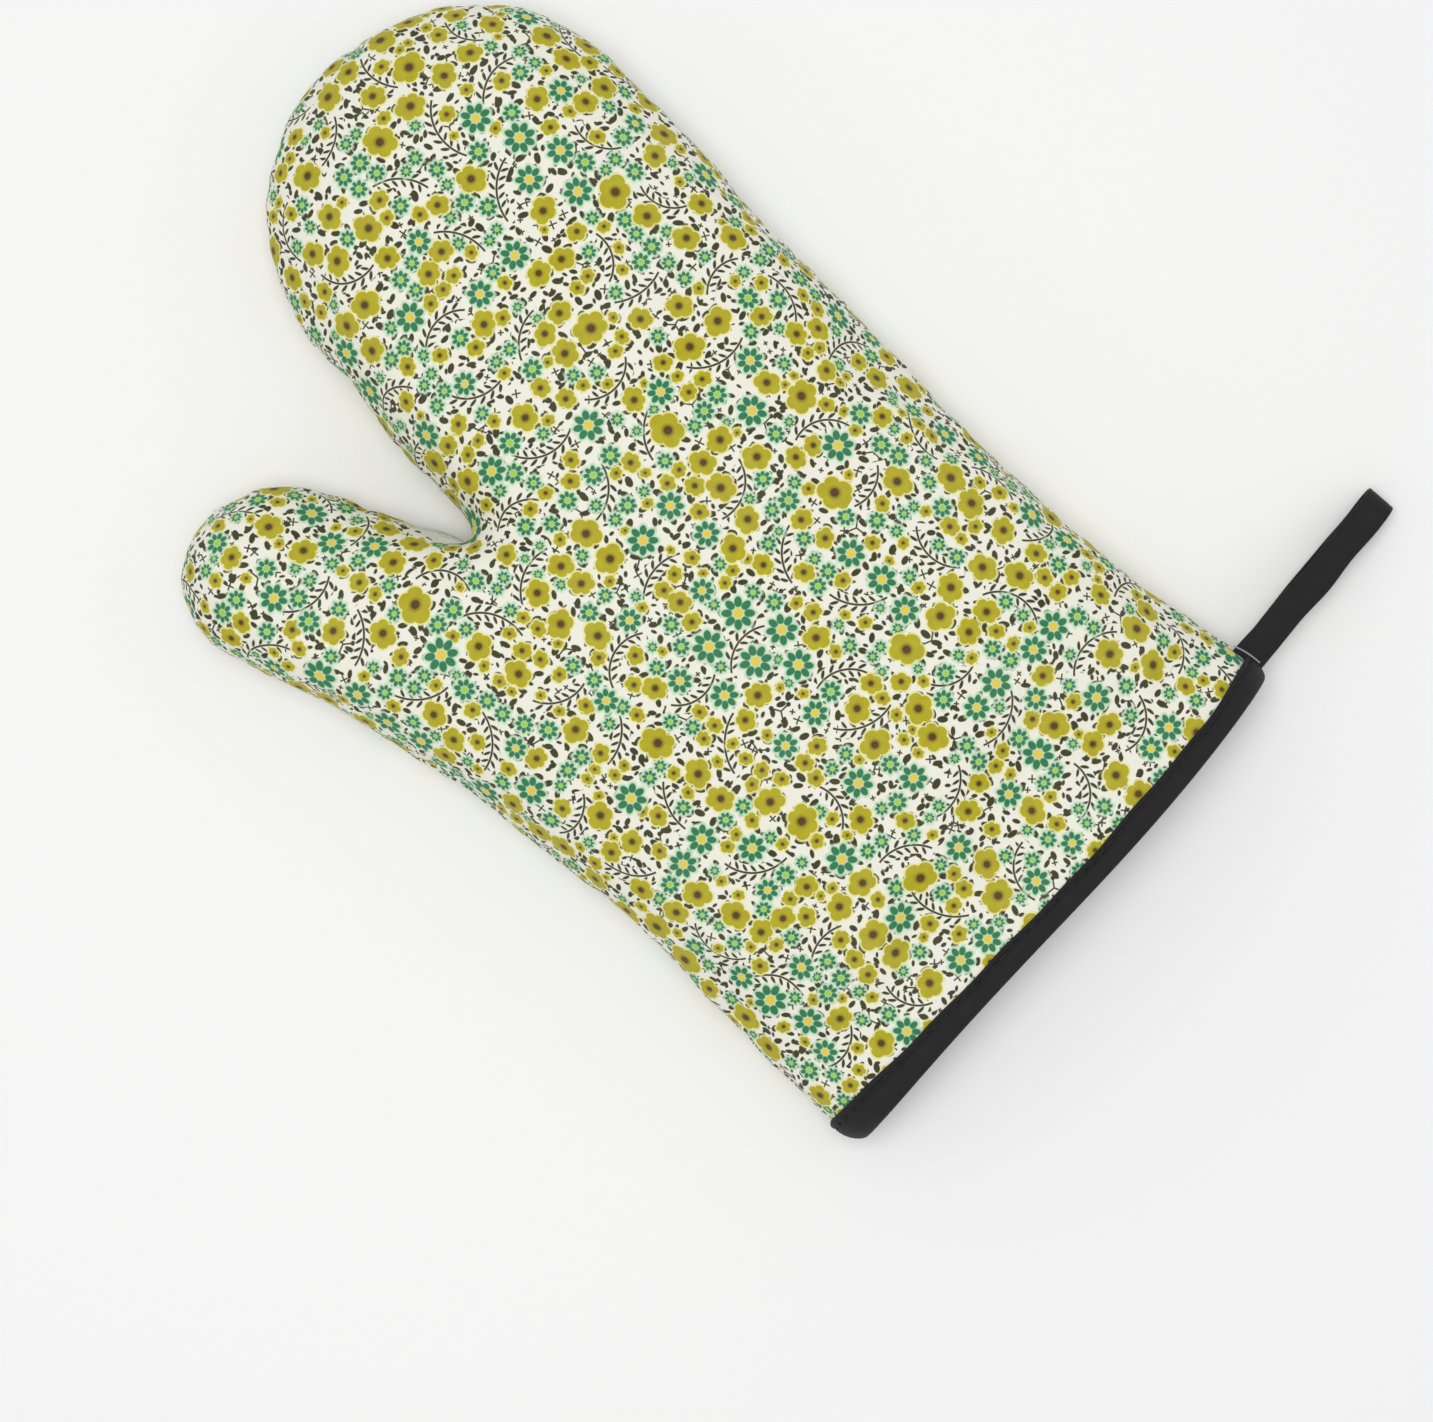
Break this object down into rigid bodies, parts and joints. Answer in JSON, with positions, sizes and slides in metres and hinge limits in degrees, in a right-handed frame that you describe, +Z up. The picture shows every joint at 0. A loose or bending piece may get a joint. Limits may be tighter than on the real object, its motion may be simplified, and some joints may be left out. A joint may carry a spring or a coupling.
{
  "type": "oven mitt",
  "caption": "Padded thumb-and-fingers mitt lying flat, printed cotton shell, wadding, white lining, bound cuff and a flat tape hanging loop.",
  "frame": {"origin": "on the surface the mitt lies on, under the middle of its outline, loop included", "axes": "+Y from the cuff to the fingertips, +X along the cuff towards the hanging loop, +Z up, thumb on the -X side"},
  "size_m": [0.2212, 0.2807, 0.04],
  "materials": {
    "printed_cotton": "woven cotton, small floral print on cream",
    "wadding": "needled polyester wadding",
    "lining_cotton": "plain white woven cotton",
    "seam_thread": "twisted polyester sewing thread",
    "black_tape": "black cotton bias tape",
    "black_thread": "twisted black sewing thread"
  },
  "bodies": {
    "mitt": {"shell_front": "printed_cotton", "shell_back": "printed_cotton", "wadding_front": "wadding", "wadding_back": "wadding", "lining_front": "lining_cotton", "lining_back": "lining_cotton", "shell_seam_needle_thread": "seam_thread", "shell_seam_bobbin_thread": "seam_thread", "lining_seam_needle_thread": "seam_thread", "lining_seam_bobbin_thread": "seam_thread", "cuff_binding": "black_tape", "binding_needle_thread": "black_thread", "binding_bobbin_thread": "black_thread", "loop_sewn_ends": "black_tape", "loop_bartack": "black_thread"},
    "loop": {"hang_loop": "black_tape"}
  },
  "joints": [
    {"name": "loop_swing", "type": "hinge", "parent": "mitt", "child": "loop", "pos_m": [0.0588, -0.13355, 0.015], "axis": [0, -1, 0], "range_deg": [-76, 118]}
  ]
}
